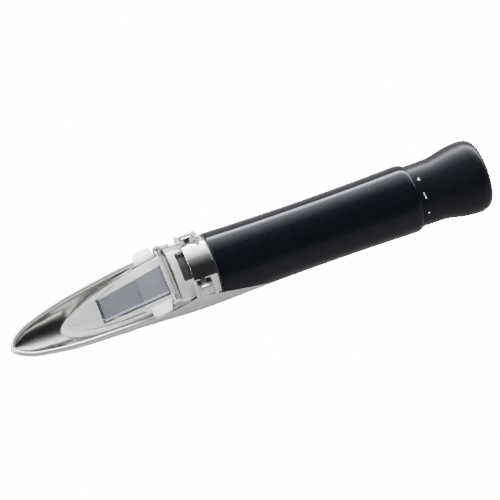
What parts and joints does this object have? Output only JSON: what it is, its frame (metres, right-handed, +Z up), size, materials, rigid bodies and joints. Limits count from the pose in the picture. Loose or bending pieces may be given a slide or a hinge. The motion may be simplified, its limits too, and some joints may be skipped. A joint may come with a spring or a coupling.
{
  "type": "handheld refractometer",
  "caption": "Optical handheld refractometer with a scoop-shaped metal shell, hinged clear daylight plate, round dark grip and turning focus eyecup.",
  "frame": {"origin": "under the middle of the instrument's length, on the surface that it lies on", "axes": "+X along the optical axis from the scoop's tip towards the eyecup, +Z up through the daylight plate"},
  "size_m": [0.207, 0.0314, 0.0314],
  "materials": {
    "polished_metal": "mirror polished stainless steel",
    "satin_metal": "fine satin",
    "steel": "machined",
    "brass": "machined",
    "black_metal": "matt black anodised",
    "grip_plastic": "glossy near-black navy",
    "clear_plastic": "clear moulded acrylic",
    "prism_glass": "polished, dark behind",
    "lens_glass": "polished",
    "black_rubber": "smooth",
    "eyecup_rubber": "satin moulded"
  },
  "bodies": {
    "instrument": {"scoop_shell": "polished_metal", "shell_screws": "steel", "prism_stage": "satin_metal", "measuring_prism": "prism_glass", "prism_seal": "black_rubber", "hinge_pin": "steel", "hinge_saddle": "clear_plastic", "strap": "polished_metal", "neck": "black_metal", "front_seal": "black_rubber", "grip_sleeve": "grip_plastic", "inner_barrel": "black_metal", "grip_nut": "black_metal", "light_baffle": "black_metal", "carriage_guide": "brass", "screw_seal": "black_rubber", "reticle_holder": "black_metal", "reticle": "lens_glass", "reticle_retainer": "black_metal", "focus_key": "steel", "focus_o_ring": "black_rubber"},
    "daylight_cover": {"daylight_plate": "clear_plastic"},
    "objective_slide": {"objective_carriage": "brass", "bimetal_strip": "steel", "bimetal_screws": "steel", "objective_cell": "black_metal", "objective_lens": "lens_glass", "objective_retainer": "black_metal"},
    "adjuster": {"calibration_screw": "steel", "screw_clip": "steel"},
    "eyepiece": {"lens_barrel": "black_metal", "field_lens": "lens_glass", "lens_spacer": "black_metal", "eye_lens": "lens_glass", "eye_lens_retainer": "black_metal"},
    "focus_grip": {"focus_ring": "black_metal", "focus_circlip": "steel", "eyecup": "eyecup_rubber"}
  },
  "joints": [
    {"name": "daylight_plate_hinge", "type": "hinge", "parent": "instrument", "child": "daylight_cover", "pos_m": [-0.0358, 0, 0.02456], "axis": [0, 1, 0], "range_deg": [0, 110]},
    {"name": "calibration_turn", "type": "hinge", "parent": "instrument", "child": "adjuster", "pos_m": [-0.0034, 0, 0.0057], "axis": [0, 0, 1], "range_deg": [-360, 360]},
    {"name": "objective_shift", "type": "slide", "parent": "instrument", "child": "objective_slide", "axis": [0, 0, 1], "range_m": [-0.0005, 0.0005]},
    {"name": "focus_travel", "type": "slide", "parent": "instrument", "child": "eyepiece", "axis": [1, 0, 0], "range_m": [-0.0015, 0.0015]},
    {"name": "focus_turn", "type": "hinge", "parent": "eyepiece", "child": "focus_grip", "pos_m": [0.09, 0, 0.0157], "axis": [1, 0, 0], "range_deg": [-180, 180]}
  ],
  "couplings": [
    {"joint": "calibration_turn", "follows": "objective_shift", "rad_per_m": 12566},
    {"joint": "focus_turn", "follows": "focus_travel", "rad_per_m": 2094.4}
  ]
}
